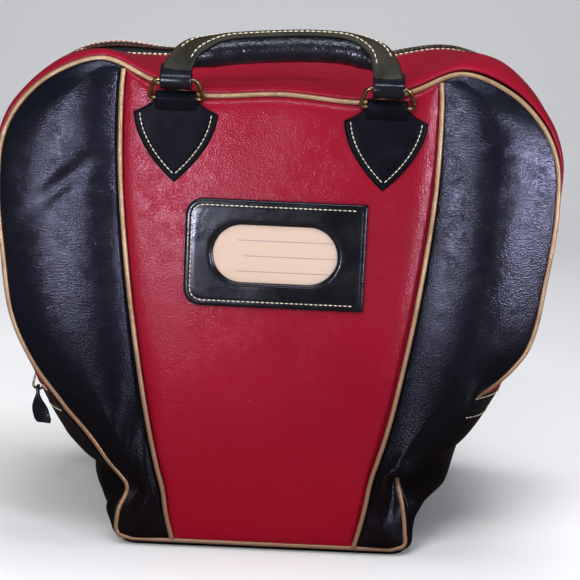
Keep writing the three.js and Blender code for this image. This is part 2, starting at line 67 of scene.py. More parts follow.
# Handle tabs: distance from the middle, heights from the tip to the neck, then half widths.
TAB_X, TAB_TIP, TAB_BELLY, TAB_CORNER, TAB_SHOULDER = 66.0, 244.0, 266.0, 288.0, 295.5
TAB_HALF, NECK_HALF = 26.5, 12.6
RING_Z, RING_OUT, RING_HEIGHT = 297.0, 117.7, 14.0
RING_LOWER, RING_UPPER, RING_CORNER, RING_WIRE = 17.4, 13.4, 3.6, 1.6
HANDLE_RISE, GRIP_RADIUS, STRAP_HALF = 27.0, 9.2, 9.0
FOLDS = {"front": 1.0, "back": 0.45}   # how far each side has slumped
POSES = {"front": (30.0, -33.0), "back": (145.0, 160.0)}   # ring and handle, degrees outwards from upright

TAG_Z, TAG_WIDTH, TAG_HEIGHT, TAG_CORNER = 201.0, 115.0, 69.0, 11.0
WINDOW_WIDTH, WINDOW_HEIGHT = 82.0, 40.0


# ------------ curves and outlines
class Spline:
    """Centripetal Catmull-Rom curve through its points; its parameter is even over the points."""

    def __init__(self, points):
        p = np.array(points, float)
        self.points = np.vstack([2 * p[0] - p[1], p, 2 * p[-1] - p[-2]])
        self.steps = np.sqrt(np.linalg.norm(np.diff(self.points, axis=0), axis=1))

    def at(self, t):
        spans = len(self.points) - 3
        s = np.clip(np.asarray(t, float), 0, 1) * spans
        i = np.minimum(s.astype(int), spans - 1)
        w = (s - i)[..., None]
        p0, p1, p2, p3 = (self.points[i + k] for k in range(4))
        d0, d1, d2 = (self.steps[i + k][..., None] for k in range(3))
        m1 = d1 * ((p1 - p0) / d0 - (p2 - p0) / (d0 + d1) + (p2 - p1) / d1)
        m2 = d1 * ((p2 - p1) / d1 - (p3 - p1) / (d1 + d2) + (p3 - p2) / d2)
        rise = 3 * w**2 - 2 * w**3
        return (1 - rise) * p1 + rise * p2 + (w**3 - 2 * w**2 + w) * m1 + (w**3 - w**2) * m2


def arc_point(degrees):
    x, z, r = ZIP_ARC
    return (x + r * math.cos(math.radians(degrees)), z + r * math.sin(math.radians(degrees)))


# Right half from the base to the middle of the top: panel edge, and gusset crest beside it.
HALF_OUTLINE = [
    ((87, 5.2), (85, 4.8)),
    ((96.6, 8.4), (98, 8)),
    ((99.6, 19), (105, 18)),
    ((105, 46), (120, 44)),
    ((117, 72), (138, 66)),
    ((133, 94), arc_point(ZIP_END_ANGLE)),
    ((154, 122), arc_point(-19)),
    ((168, 152), arc_point(-11)),
    ((174, 190), arc_point(-2)),
    ((178, 232), arc_point(9)),
    ((175.5, 267), arc_point(18)),
    ((165, 289), arc_point(25.5)),
    ((143.7, 308.8), (146.7, 313.3)),
    ((112.2, 319.6), (122.5, 320)),
    ((82, 307.5), (85, 319.6)),
    ((55, 299.5), (55, 318)),
    ((0, 302), (0, 317)),
]
LAST = len(HALF_OUTLINE) - 1


def full_curve(which):
    right = [pair[which] for pair in HALF_OUTLINE]
    return Spline([(-x, z) for x, z in right] + right[-2::-1])


EDGE, CREST = full_curve(0), full_curve(1)
SEAM = Spline([(60, 5.6), (66, 28), (74, 66), (83, 112), (93, 176), (100, 246), (100.5, 300), (99.5, 314.5)])


def index_t(index):
    return index / (2 * LAST)


TOP_SEAM_T = 1 - index_t(PEAK_INDEX + 0.42)    # where the right inner seam meets the top edge


# ------------ how the empty bag settles
def smooth_step(x, low, high):
    s = np.clip((np.asarray(x, float) - low) / (high - low), 0, 1)
    return s * s * (3 - 2 * s)


def bump(distance, width):
    return np.exp(-(np.asarray(distance) / width) ** 2)


# How far each side edge of the front is drawn in at a height, where the empty bag buckles.
LEFT_BUCKLE = ((4, 0), (16, 1.5), (26, 5), (34, 10.5), (40, 13), (46, 10.5), (58, 5), (76, 2), (92, 0))
RIGHT_BUCKLE = ((4, 2), (10, 3.5), (18, 6), (28, 9), (37, 12), (46, 16.5), (54, 22), (59, 24), (66, 21),
                (76, 18.5), (90, 17), (102, 13.5), (116, 8), (130, 3), (142, 0))
TUCK = ((48, 0), (62, 9), (84, 12), (104, 9), (124, 0))  # how far the right edge goes back behind its fold


def buckle(z, table):
    heights, amounts = zip(*table)
    return sum(np.interp(z + shift, heights, amounts) for shift in (-2.5, 0, 2.5)) / 3


def settle(points, folds=1.0):
    """Moves points of the ideal bag, facing -Y, to where the soft empty bag lets them hang."""
    p = np.array(points, float)
    x, y, z = p[..., 0].copy(), p[..., 1].copy(), p[..., 2].copy()
    near_front = bump(np.maximum(y + PANEL_OUTER, 0), 34)
    edge = np.interp(z, (5, 46, 72, 94, 122), (98, 104, 116, 132, 153))
    reach = bump(np.maximum(edge - np.abs(x), 0), 24) * near_front * folds
    left, right = buckle(z, LEFT_BUCKLE) * reach, buckle(z, RIGHT_BUCKLE) * reach
    p[..., 0] += np.where(x < 0, left, -right)
    tucked = buckle(z, TUCK) * bump(np.maximum(edge - np.abs(x), 0), 10) * near_front * folds
    p[..., 1] += np.where(x < 0, 0.35 * left, 0.2 * right + tucked)
    slumped = (1 - folds) / (1 - FOLDS["back"])
    p[..., 2] -= 12 * slumped * smooth_step(z, 262, 306) * smooth_step(-y, 8, 90) * bump(np.abs(x) - 118, 42)
    return p


def waves(x, z, seed, scale):
    """Slow unevenness, between about -1 and 1, of a soft surface."""
    total = 0.0
    for k in range(5):
        turn, pitch = seed + 2.4 * k, scale * (1 + 0.43 * k)
        along = x * math.cos(turn) + z * math.sin(turn)
        total = total + np.sin(along * pitch + 1.7 * k * seed) / (1 + 0.6 * k)
    return total / 2.3


def crown(x, z, folds):
    """How far the front face stands out from flat, away from its seams."""
    x, z = np.asarray(x, float), np.asarray(z, float)
    broad = 5.0 * np.clip(1 - (x / 190) ** 2, 0, 1) * np.clip(1 - ((z - 165) / 175) ** 2, 0, 1)
    beside, over = np.maximum(np.abs(x) - 52, 0), np.maximum(np.abs(z - TAG_Z) - 30, 0)
    clear_of_tag = 1 - bump(beside, 14) * bump(over, 14)
    return broad + (1.5 * waves(x, z, 0.9 + folds, 0.021) + 0.4 * waves(x, z, 2.1, 0.06)) * clear_of_tag


FOLD_START, FOLD_END = np.array([110.0, 56.0]), np.array([150.0, 116.0])


def side_folds(x, z):
    """Folds of the front face above its buckled lower corners: offsets in x, out of the face, and in z."""
    along = FOLD_END - FOLD_START
    length = np.linalg.norm(along)
    along = along / length
    x0, z0 = x - FOLD_START[0], z - FOLD_START[1]
    s, inside = x0 * along[0] + z0 * along[1], z0 * along[0] - x0 * along[1]
    window = smooth_step(s, -12, 8) * (1 - smooth_step(s, length - 26, length + 6))
    roll = 12.0 * bump(inside - 10, 8) * window
    out = 6.5 * bump(inside - 10, 9) * window
    dx, dz = roll * 0.725, -roll * 0.688
    crease = (0.69, 0.725)
    t, off = -x0 * crease[0] - z0 * crease[1], z0 * crease[0] - x0 * crease[1]
    fade = smooth_step(t, -12, 2) * (1 - smooth_step(t, 12, 46))
    out = out + fade * (4.2 * bump(off - 11, 8) - 4.5 * bump(off + 1, 6) + 2.4 * bump(off + 16, 9))
    left = smooth_step(z, 22, 38) * (1 - smooth_step(z, 60, 128))
    off = x + 94 - 10 * smooth_step(z, 36, 120)
    out = out + left * (-3.4 * bump(off, 7) + 1.8 * bump(off + 13, 8) + 1.6 * bump(off - 14, 8))
    dent = bump((z - 232) - 0.9 * (x + 146), 7) * bump(np.hypot(x + 136, z - 240), 24)
    return dx, out - 2.2 * dent, dz


# ------------ meshes
def make_object(name, vertices, faces, materials, smooth=True, indices=None):
    mesh = bpy.data.meshes.new(name)
    mesh.from_pydata([tuple(v) for v in np.asarray(vertices, float) * MM], [], faces)
    for material in materials if isinstance(materials, (list, tuple)) else [materials]:
        mesh.materials.append(material)
    mesh.polygons.foreach_set("use_smooth", [smooth] * len(mesh.polygons))
    if indices is not None:
        mesh.polygons.foreach_set("material_index", indices)
    mesh.validate()
    mesh.update()
    obj = bpy.data.objects.new(name, mesh)
    bpy.context.scene.collection.objects.link(obj)
    return obj


def grid_faces(rows, columns, close_rows=False, close_columns=False, offset=0):
    faces = []
    for i in range(rows if close_rows else rows - 1):
        for j in range(columns if close_columns else columns - 1):
            a, b = i * columns + j, i * columns + (j + 1) % columns
            c, d = ((i + 1) % rows) * columns + (j + 1) % columns, ((i + 1) % rows) * columns + j
            faces.append((a + offset, b + offset, c + offset, d + offset))
    return faces


def grid_normals(p):
    du, dv = np.gradient(p, axis=0), np.gradient(p, axis=1)
    n = np.cross(du, dv)
    return n / np.maximum(np.linalg.norm(n, axis=-1, keepdims=True), 1e-9)


def sheet(name, p, material, thickness=LEATHER, flip=False):
    """A curved sheet of leather from a grid of points, its outer face on the points."""
    faces = grid_faces(*p.shape[:2])
    if flip:
        faces = [f[::-1] for f in faces]
    obj = make_object(name, p.reshape(-1, 3), faces, material)
    modifier = obj.modifiers.new("leather", "SOLIDIFY")
    modifier.thickness, modifier.offset = thickness * MM, -1.0
    return obj


def soften_edges(obj, width):
    bevel = obj.modifiers.new("edges", "BEVEL")
    bevel.width, bevel.segments = width * MM, 2


def front_points(x, out, z):
    """Points of the front face, out from the middle of the bag."""
    return np.stack([x, -out + 0 * x, z], axis=-1)


def tube_data(points, radius, sides, closed=False, normals=None):
    """Vertices and faces of a round cord along points; open ends are capped."""
    p = np.asarray(points, float)
    if closed:
        tangent = np.roll(p, -1, axis=0) - np.roll(p, 1, axis=0)
    else:
        tangent = np.gradient(p, axis=0)
    tangent /= np.linalg.norm(tangent, axis=1, keepdims=True)
    if normals is None:
        guide = np.array([0, 1.0, 0])
        across = np.cross(tangent, guide)
        lost = np.linalg.norm(across, axis=1) < 0.2
        across[lost] = np.cross(tangent[lost], np.array([1.0, 0, 0]))
    else:
        across = np.cross(tangent, normals)
    across /= np.linalg.norm(across, axis=1, keepdims=True)
    up = np.cross(across, tangent)
    turn = np.linspace(0, 2 * math.pi, sides, endpoint=False)
    radius = np.broadcast_to(np.asarray(radius, float), len(p))[:, None, None]
    ring = across[:, None] * np.cos(turn)[None, :, None] + up[:, None] * np.sin(turn)[None, :, None]
    vertices = (p[:, None] + ring * radius).reshape(-1, 3)
    faces = grid_faces(len(p), sides, close_rows=closed, close_columns=True)
    if not closed:
        last = (len(p) - 1) * sides
        faces += [tuple(range(sides))[::-1], tuple(range(last, last + sides))]
    return vertices, faces


class Pile:
    """Gathers many small shapes into one mesh."""

    def __init__(self):
        self.vertices, self.faces, self.indices = [], [], []

    def add(self, vertices, faces, index=0):
        start = len(self.vertices)
        self.vertices.extend(np.asarray(vertices, float).tolist())
        self.faces.extend(tuple(start + k for k in f) for f in faces)
        self.indices.extend([index] * len(faces))

    def build(self, name, materials, smooth=True):
        return make_object(name, self.vertices, self.faces, materials, smooth, self.indices)


def resample(points, step):
    """Points at even distances along a polyline."""
    p = np.asarray(points, float)
    length = np.concatenate([[0], np.cumsum(np.linalg.norm(np.diff(p, axis=0), axis=1))])
    count = max(2, int(round(length[-1] / step)) + 1)
    at = np.linspace(0, length[-1], count)
    return np.stack([np.interp(at, length, p[:, k]) for k in range(p.shape[1])], axis=1)


# Along a stitch, in lengths: its thickness and height there, in radii.
STITCH_PROFILE = ((-0.5, 0.25, -0.3), (-0.36, 0.85, 0.0), (0, 1, 0.18), (0.36, 0.85, 0.0), (0.5, 0.25, -0.3))


def add_stitches(pile, points, up, pitch=3.4, length=2.5, radius=0.38, index=0, lift=0.1):
    """A row of thread stitches along a line of points on a surface whose normals are up."""
    p = np.asarray(points, float)
    up = np.broadcast_to(np.asarray(up, float), p.shape)
    both = resample(np.hstack([p, up]), pitch)
    path, normal = both[:, :3], both[:, 3:]
    for k in range(len(path) - 1):
        along = path[k + 1] - path[k]
        along /= max(np.linalg.norm(along), 1e-9)
        n = normal[k] / max(np.linalg.norm(normal[k]), 1e-9)
        middle = (path[k] + path[k + 1]) / 2
        side = np.cross(along, n)
        rings = []
        for s, r, h in STITCH_PROFILE:
            c = middle + along * s * length + n * (lift + h * radius)
            for turn in range(5):
                a = turn * math.tau / 5
                rings.append(c + (side * math.cos(a) + n * math.sin(a)) * radius * r)
        pile.add(rings, grid_faces(5, 5, close_columns=True), index)


# ------------ materials
class Nodes:
    """Short-hand for building one procedural material."""

    def __init__(self, name):
        self.material = bpy.data.materials.new(name)
        self.material.use_nodes = True
        self.tree = self.material.node_tree
        self.shader = self.tree.nodes["Principled BSDF"]
        self.coordinates = self.tree.nodes.new("ShaderNodeTexCoord").outputs["Object"]

    def put(self, socket, value):
        """Feeds an input from another node, or sets it to a number or a colour."""
        if isinstance(value, bpy.types.NodeSocket):
            self.tree.links.new(value, socket)
        else:
            socket.default_value = (*value, 1.0) if isinstance(value, tuple) else value

    def node(self, kind, **settings):
        made = self.tree.nodes.new(kind)
        for key, value in settings.items():
            if hasattr(made, key):
                setattr(made, key, value)
            else:
                self.put(made.inputs[key], value)
        return made

    def noise(self, scale, detail=4.0, roughness=0.55, stretch=None):
        made = self.node("ShaderNodeTexNoise", Scale=scale, Detail=detail, Roughness=roughness)
        where = self.coordinates
        if stretch:
            mapping = self.node("ShaderNodeMapping", Vector=where)
            mapping.inputs["Scale"].default_value = stretch
            where = mapping.outputs["Vector"]
        self.put(made.inputs["Vector"], where)
        return made.outputs["Fac"]

    def cells(self, scale):
        return self.node("ShaderNodeTexVoronoi", Scale=scale, Vector=self.coordinates).outputs["Distance"]

    def ramp(self, value, low, high, low_out=0.0, high_out=1.0):
        made = self.node("ShaderNodeMapRange", interpolation_type="SMOOTHSTEP")
        for socket, number in zip(made.inputs, (value, low, high, low_out, high_out)):
            self.put(socket, number)
        return made.outputs["Result"]

    def math(self, operation, *values):
        made = self.node("ShaderNodeMath", operation=operation)
        for socket, value in zip(made.inputs, values):
            self.put(socket, value)
        return made.outputs["Value"]

    def mix(self, factor, a, b):
        made = self.node("ShaderNodeMix", data_type="RGBA")
        for place_in_list, value in ((0, factor), (6, a), (7, b)):
            self.put(made.inputs[place_in_list], value)
        return made.outputs[2]

    def bump(self, height, strength, distance, after=None):
        made = self.node("ShaderNodeBump", Strength=strength, Distance=distance, Height=height)
        if after is not None:
            self.put(made.inputs["Normal"], after)
        return made.outputs["Normal"]

    def axis(self, name):
        return self.node("ShaderNodeSeparateXYZ", Vector=self.coordinates).outputs[name]

    def height_above(self, low, high, low_out=0.0, high_out=1.0):
        """One value below the lower height and another above the upper one, in metres of the row frame."""
        return self.ramp(self.axis("Z"), low, high, low_out, high_out)

    def finish(self, color, roughness, normal=None, **values):
        values.update(base_color=color, roughness=roughness)
        if normal is not None:
            values["normal"] = normal
        for key, value in values.items():
            self.put(self.shader.inputs[key.replace("_", " ").title().replace("Ior", "IOR")], value)
        return self.material


def grain(n, cell, strength, wrinkle=0.25):
    """Leather grain: small pebbles broken up by noise, over slow hand-sized waves."""
    pebbles = n.math("MULTIPLY", n.cells(1000 / cell), n.ramp(n.noise(120), 0.3, 0.7, 0.5, 1.0))
    fine = n.bump(pebbles, strength, 0.0005)
    return n.bump(n.noise(26, detail=3), wrinkle, 0.002, after=fine)


def bag_leather(name, main, deep, light, low_shade_and_reflection, shine, tint, smudge=None):
    """Worn leather with painted shade and a painted brown floor reflection low down, and duller low down;
    shine is its specular level low down and high up.
    """
    n = Nodes(name)
    tone = n.mix(n.ramp(n.noise(5, detail=3), 0.35, 0.68), main, deep)
    tone = n.mix(n.ramp(n.noise(60, detail=6), 0.55, 0.8, 0.0, 0.35), tone, light)
    # Painted shade and painted brown floor reflection, strongest near the base.
    tone = n.mix(n.height_above(0.17, 0.02, 0.0, low_shade_and_reflection[3]), tone, low_shade_and_reflection[:3])
    scuffs = n.ramp(n.noise(90, detail=8, roughness=0.7, stretch=(1, 1, 0.12)), 0.70, 0.76, 0.0, 0.3)
    tone = n.mix(scuffs, tone, light)
    specks = n.ramp(n.cells(95), 0.045, 0.02, 0.0, 0.4)
    specks = n.math("MULTIPLY", specks, n.ramp(n.noise(17), 0.56, 0.62))
    tone = n.mix(specks, tone, (0.5, 0.42, 0.38))
    if smudge:
        tone = n.mix(n.ramp(n.noise(11, detail=5), 0.6, 0.78, 0.0, 0.35), tone, smudge)
    roughness = n.ramp(n.noise(14, detail=6), 0.3, 0.7, 0.20, 0.28)
    level = n.height_above(0.11, 0.20, *shine)
    return n.finish(tone, roughness, grain(n, 0.95, 0.35), specular_ior_level=level, specular_tint=tint)


def handle_leather(name, tint, roughness, cell=1.1, strength=0.5, level=0.5):
    n = Nodes(name)
    tone = n.mix(n.ramp(n.noise(70, detail=6), 0.4, 0.75), tint, tuple(1.8 * c for c in tint))
    rough = n.ramp(n.noise(40, detail=5), 0.3, 0.7, roughness, roughness + 0.14)
    return n.finish(tone, rough, grain(n, cell, strength, 0.35), specular_ior_level=level,
                    specular_tint=(0.82, 0.86, 1.0))


def gold_piping():
    n = Nodes("gold_piping")
    tone = n.mix(n.ramp(n.noise(45, detail=5), 0.4, 0.7), (0.44, 0.29, 0.165), (0.27, 0.155, 0.08))
    # Painted glints: small flecks in the cord's highlight colour.
    tone = n.mix(n.ramp(n.noise(320, detail=4), 0.55, 0.75, 0.0, 0.5), tone, (0.72, 0.56, 0.38))
    # Painted shade: the cord darkens towards the bottom of the bag.
    tone = n.mix(n.height_above(0.20, 0.07), tone, (0.27, 0.15, 0.085))
    normal = n.bump(n.noise(520, detail=3), 0.35, 0.0004)
    return n.finish(tone, n.ramp(n.noise(80), 0.3, 0.7, 0.28, 0.42), normal, metallic=0.4)


def metal(name, color, dull, roughness):
    n = Nodes(name)
    tarnish = n.ramp(n.noise(150, detail=6), 0.45, 0.72)
    rough = n.ramp(n.noise(260, detail=5), 0.3, 0.7, roughness, roughness + 0.18)
    normal = n.bump(n.noise(900, detail=3), 0.12, 0.0002)
    return n.finish(n.mix(tarnish, color, dull), rough, normal, metallic=1.0)


def cloth(name, color, second, threads):
    n = Nodes(name)
    weave = None
    for axis in ("X", "Z"):
        wave = n.node("ShaderNodeTexWave", bands_direction=axis, Scale=threads, Distortion=0.6,
                      Vector=n.coordinates)
        wave.inputs["Detail Scale"].default_value = 3.0
        weave = wave.outputs["Fac"] if weave is None else n.math("MULTIPLY", weave, wave.outputs["Fac"])
    tone = n.mix(weave, color, second)
    tone = n.mix(n.ramp(n.noise(12), 0.4, 0.7, 0.0, 0.4), tone, color)
    return n.finish(tone, 0.9, n.bump(weave, 0.5, 0.0004))


def thread_material():
    n = Nodes("cream_thread")
    tone = n.mix(n.ramp(n.noise(400), 0.4, 0.7), (0.80, 0.72, 0.56), (0.52, 0.44, 0.31))
    return n.finish(tone, 0.7, n.bump(n.noise(2600, detail=2), 0.5, 0.0002))


def card_material():
    """Aged card with plain ruled lines; nothing is written on it."""
    n = Nodes("ruled_card")
    tone = n.mix(n.ramp(n.noise(22, detail=6), 0.35, 0.7), (0.55, 0.33, 0.225), (0.54, 0.33, 0.205))
    tone = n.mix(n.ramp(n.noise(300, detail=4), 0.62, 0.75, 0.0, 0.35), tone, (0.5, 0.32, 0.2))
    x, z = n.axis("X"), n.axis("Z")
    for height, left in ((TAG_Z + 8.5, -24), (TAG_Z - 1.5, -20), (TAG_Z - 11.5, -24)):
        offset = n.math("ABSOLUTE", n.math("SUBTRACT", z, height * MM))
        line = n.ramp(offset, 0.00042, 0.00026)
        run = n.math("MULTIPLY", line, n.ramp(x, (left - 0.3) * MM, (left + 0.3) * MM, 0.0, 0.8))
        tone = n.mix(run, tone, (0.10, 0.06, 0.045))
    return n.finish(tone, 0.75, n.bump(n.noise(500, detail=4), 0.15, 0.0003))


def window_material():
    n = Nodes("clear_window")
    return n.finish((0.98, 0.95, 0.9), 0.12, n.bump(n.noise(35, detail=2), 0.12, 0.002), alpha=0.14)


def board_material():
    n = Nodes("fibre_board")
    fibres = n.noise(180, detail=8, roughness=0.7, stretch=(1, 0.25, 1))
    tone = n.mix(n.ramp(fibres, 0.35, 0.7), (0.20, 0.115, 0.055), (0.11, 0.06, 0.03))
    return n.finish(tone, 0.85, n.bump(fibres, 0.3, 0.0005))


def plastic_material():
    n = Nodes("black_plastic")
    tone = n.mix(n.ramp(n.noise(60, detail=5), 0.4, 0.7), (0.018, 0.018, 0.02), (0.035, 0.034, 0.034))
    return n.finish(tone, n.ramp(n.noise(120), 0.3, 0.7, 0.42, 0.6), n.bump(n.noise(700), 0.15, 0.0002))


# The fifth colour of each leather is its painted shade and painted brown floor reflection low down.
RED = bag_leather("red_leather", (0.245, 0.0045, 0.018), (0.19, 0.003, 0.013), (0.30, 0.013, 0.036),
                  (0.215, 0.002, 0.010, 0.8), (0.12, 0.34), (1.0, 0.72, 0.86), smudge=(0.08, 0.008, 0.016))
BLACK = bag_leather("black_leather", (0.0042, 0.0048, 0.0090), (0.0028, 0.0036, 0.0052),
                    (0.008, 0.009, 0.018), (0.0040, 0.0022, 0.0022, 0.85), (0.12, 0.5), (0.72, 0.73, 1.0))
HANDLE = handle_leather("handle_leather", (0.005, 0.005, 0.008), 0.22, cell=1.5, strength=0.5, level=0.6)
SLEEVE = handle_leather("sleeve_leather", (0.005, 0.005, 0.008), 0.17, cell=1.2, strength=0.16, level=0.6)
STRAP = handle_leather("strap_leather", (0.018, 0.0165, 0.009), 0.4, cell=0.9, strength=0.3, level=0.3)
TAB = handle_leather("tab_leather", (0.003, 0.0033, 0.0055), 0.36, cell=0.9, strength=0.2, level=0.08)
TAG = handle_leather("tag_leather", (0.003, 0.003, 0.005), 0.16, cell=0.8, strength=0.12, level=0.6)
GOLD = gold_piping()
BRASS = metal("brass", (0.42, 0.29, 0.13), (0.12, 0.075, 0.035), 0.24)
ZIP_METAL = metal("zip_metal", (0.60, 0.50, 0.36), (0.24, 0.18, 0.11), 0.28)
TAPE = cloth("zip_tape", (0.010, 0.010, 0.013), (0.028, 0.028, 0.034), 900)
LINING = cloth("lining_cloth", (0.19, 0.165, 0.14), (0.30, 0.27, 0.235), 620)
CREAM = thread_material()
CARD = card_material()
WINDOW = window_material()
BOARD = board_material()
PLASTIC = plastic_material()

# ------------ placing a side
BACK = Matrix.Rotation(math.pi, 4, "Z")


def place(piece, side, body=None, node=None):
    """Turns a piece built facing -Y to its side of the bag, and lets it ride and stand for a CAD node."""
    if side == "back":
        piece.data.transform(BACK)
        piece.data.update()
    if body:
        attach(piece, body)
    if node:
        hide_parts(node)


# ------------ panels
def coons(left, right, bottom, top, rows, columns):
    """Grid between four boundary curves, given as functions of 0..1; rows run from bottom to top."""
    v = np.linspace(0, 1, rows)[:, None, None]
    u = np.linspace(0, 1, columns)[None, :, None]
    lv, rv = left(v[:, 0, 0])[:, None], right(v[:, 0, 0])[:, None]
    bu, tu = bottom(u[0, :, 0])[None], top(u[0, :, 0])[None]
    corners = ((1 - u) * (1 - v) * bu[:, :1] + u * (1 - v) * bu[:, -1:]
               + (1 - u) * v * tu[:, :1] + u * v * tu[:, -1:])
    return (1 - u) * lv + u * rv + (1 - v) * bu + v * tu - corners


def edge_between(t0, t1):
    return lambda s: EDGE.at(t0 + (t1 - t0) * s)


def straight(a, b):
    return lambda s: np.array(a) + (np.array(b) - np.array(a)) * np.asarray(s)[:, None]


def mirror(curve):
    return lambda s: curve(s) * np.array([-1.0, 1.0])


def panel_grid(flat, folds, puff=2.2, inward=0.0, pillow=0.0, fullest=99.0, folded=True):
    """Turns a flat grid of x and z into the soft front face, dipping into its seams."""
    rows, columns = flat.shape[:2]
    across = np.linalg.norm(np.diff(flat, axis=1), axis=2).sum(axis=1)[:, None]
    length = np.linalg.norm(np.diff(flat, axis=0), axis=2).sum(axis=0)[None, :]
    u = np.linspace(0, 1, columns)[None, :]
    v = np.linspace(0, 1, rows)[:, None]
    to_side = np.minimum(u, 1 - u) * across
    to_end = np.minimum(v, 1 - v) * length
    near = 1 / np.sqrt(1 / (to_side + 0.01) ** 2 + 1 / (to_end + 0.01) ** 2)
    full = np.minimum(crown(flat[..., 0], flat[..., 1], folds), fullest) * (1 - np.exp(-near / 16.0))
    rise = puff * (1 - np.exp(-near / 5.0)) + full + pillow * (1 - bump(near, 20))
    dx, fold, dz = side_folds(flat[..., 0], flat[..., 1])
    free = folds * folded * (1 - np.exp(-near / 3.0))
    p = settle(front_points(flat[..., 0], SEAM_DEPTH - inward + rise + fold * free, flat[..., 1]), folds)
    p[..., 0] += dx * free
    p[..., 2] += dz * free
    return p


def panels(side, body):
    folds, peak = FOLDS[side], index_t(PEAK_INDEX)
    bottom, top = SEAM.at(0.0), edge_between(1 - TOP_SEAM_T, TOP_SEAM_T)
    flat = coons(mirror(SEAM.at), SEAM.at, straight(bottom * (-1, 1), bottom), top, 110, 60)
    piece = sheet(f"{side}_center_face", panel_grid(flat, folds), RED, PANEL_LEATHER)
    place(piece, side, body, f"{side}_center_panel")
    outer = edge_between(1, 1 - peak)
    right = coons(SEAM.at, outer, straight(bottom, EDGE.at(1)), edge_between(TOP_SEAM_T, 1 - peak), 110, 34)
    for hand, flat in (("left", right[:, ::-1] * (-1, 1)), ("right", right)):
        piece = sheet(f"{side}_{hand}_face", panel_grid(flat, folds, pillow=4.5), BLACK, PANEL_LEATHER)
        place(piece, side, body, f"{side}_{hand}_panel")
    whole = coons(mirror(outer), outer, straight(*EDGE.at([0, 1])), edge_between(peak, 1 - peak), 60, 60)
    middle = whole.mean(axis=(0, 1))
    size = np.abs(whole - middle).max(axis=(0, 1))
    inset = middle + (whole - middle) * (1 - 4.0 / size)
    lining = panel_grid(inset, folds, puff=0.0, inward=6.0, fullest=1.0, folded=False)
    place(sheet(f"{side}_inner_lining", lining, LINING, 0.8), side, body, f"{side}_lining")


def cord(name, points, side, body, node, closed=False):
    vertices, faces = tube_data(settle(points, FOLDS[side]), PIPING_RADIUS, 12, closed)
    place(make_object(name, vertices, faces, GOLD), side, body, node)


def piping(side, body):
    rim = EDGE.at(np.linspace(0, 1, 420))
    bottom = straight(rim[-1], rim[0])(np.linspace(0, 1, 60)[1:-1])
    x, z = np.vstack([rim, bottom]).T
    cord(f"{side}_rim_cord", front_points(x, SEAM_DEPTH, z), side, body, f"{side}_edge_piping", True)
    for hand, sign in (("left", -1), ("right", 1)):
        x, z = (SEAM.at(np.linspace(0.005, 0.995, 150)) * (sign, 1)).T
        out = SEAM_DEPTH + 1.0 + crown(x, z, FOLDS[side]) * 0.93
        cord(f"{side}_{hand}_seam_cord", front_points(x, out, z), side, body, f"{side}_{hand}_piping")


# ------------ gusset and zip
# From a zip tooth's root to its tip: reach over the middle of the chain, width and height.
TOOTH_PROFILE = ((-0.75, 0.7, 0.45), (-0.3, 1.35, 0.85), (1.1, 1.25, 1.1), (3.6, 1.5, 1.05), (4.4, 1.2, 0.4))


def gusset_grid(t, depth, folds, lift=0.0):
    """Points of the gusset's outer face: t along the outline, depth from the middle, facing -Y."""
    t, depth = np.meshgrid(t, depth, indexing="ij")
    reach = np.clip(depth / (SEAM_DEPTH - 1.4), 0, 1)
    edge, crest = EDGE.at(t), CREST.at(t)
    share = (1 - reach**1.8)[..., None]
    xz = edge * (1 - share) + crest * share
    p = np.stack([xz[..., 0], -depth, xz[..., 1]], axis=-1)
    n = grid_normals(p)
    outward = np.stack([xz[..., 0], 0 * reach, xz[..., 1] - 170], axis=-1)
    n *= np.sign(np.sum(n * outward, axis=-1, keepdims=True) + 1e-12)
    x, z = xz[..., 0], xz[..., 1]
    to_seam = SEAM_DEPTH - depth
    high = smooth_step(z, 225, 290)
    right = x > 0
    roll = 0.5 + 4.2 * high + 1.0 * (x < 0) * (1 - high)
    roll *= (1 - np.exp(-to_seam / 4.0)) * np.exp(-to_seam / 40)
    apart = smooth_step(depth, 0, 26)
    girth = t * 1400
    wrinkle = 1.7 * waves(girth, depth, 1.3 + folds, 0.022) + 0.5 * waves(girth, depth, 2.9, 0.07)
    wrinkle *= np.clip(to_seam / 18, 0, 1) * apart
    shoulder = np.where(right, 6.5, 1.5) * smooth_step(z, 232, 272) * smooth_step(np.abs(x), 100, 140)
    heights = (0, 13, 29, 44, 70, 92, 116, 134)
    belly = np.where(right, np.interp(z, heights, (0, 0, 2, 5, 2, -1, -1, 0)),
                     np.interp(z, heights, (0, 0, 2, 6, 8, 6, 3, 0))) * folds
    belly = (belly + shoulder) * bump(depth - 70, 34) * apart
    s = z - np.where(right, 48 + 26 * (1 - reach), 38 + 20 * (1 - reach))
    fold = np.where(right, -5.0, -6.0) * bump(s, 6) + 4.0 * bump(s + 14, 9)
    low = np.clip((66 - z) / 20, 0, 1)
    welt = np.where(right, 1.0, 0.3) * low * (3.4 * bump(to_seam - 8, 4.0) - 3.4 * bump(to_seam - 18, 6))
    free = np.clip(to_seam / 10, 0, 1) * apart * (z < 130)
    ridge = 1.6 * bump(depth, 9) * high
    out = 1.0 + lift + roll + wrinkle + belly + ridge + folds * (fold * free + welt)
    p = settle(p + n * out[..., None], folds)
    facing = 1 if folds == FOLDS["front"] else -1
    slope = depth / TAPE_EDGE * np.exp(1 - depth / TAPE_EDGE)
    p[..., 2] += 9 * high * bump(facing * x - 108, 42) * bump(depth, 70)
    p[..., 2] -= 3.4 * high * facing * slope * bump(facing * x + 118, 44)
    return p, n


def row_across(at, first, last, folds):
    """Points and normals of a row across the gusset, at a place along its outline."""
    row, up = gusset_grid([at, at + 1e-4], np.linspace(first, last, 60), folds)
    return row[0], up[0]


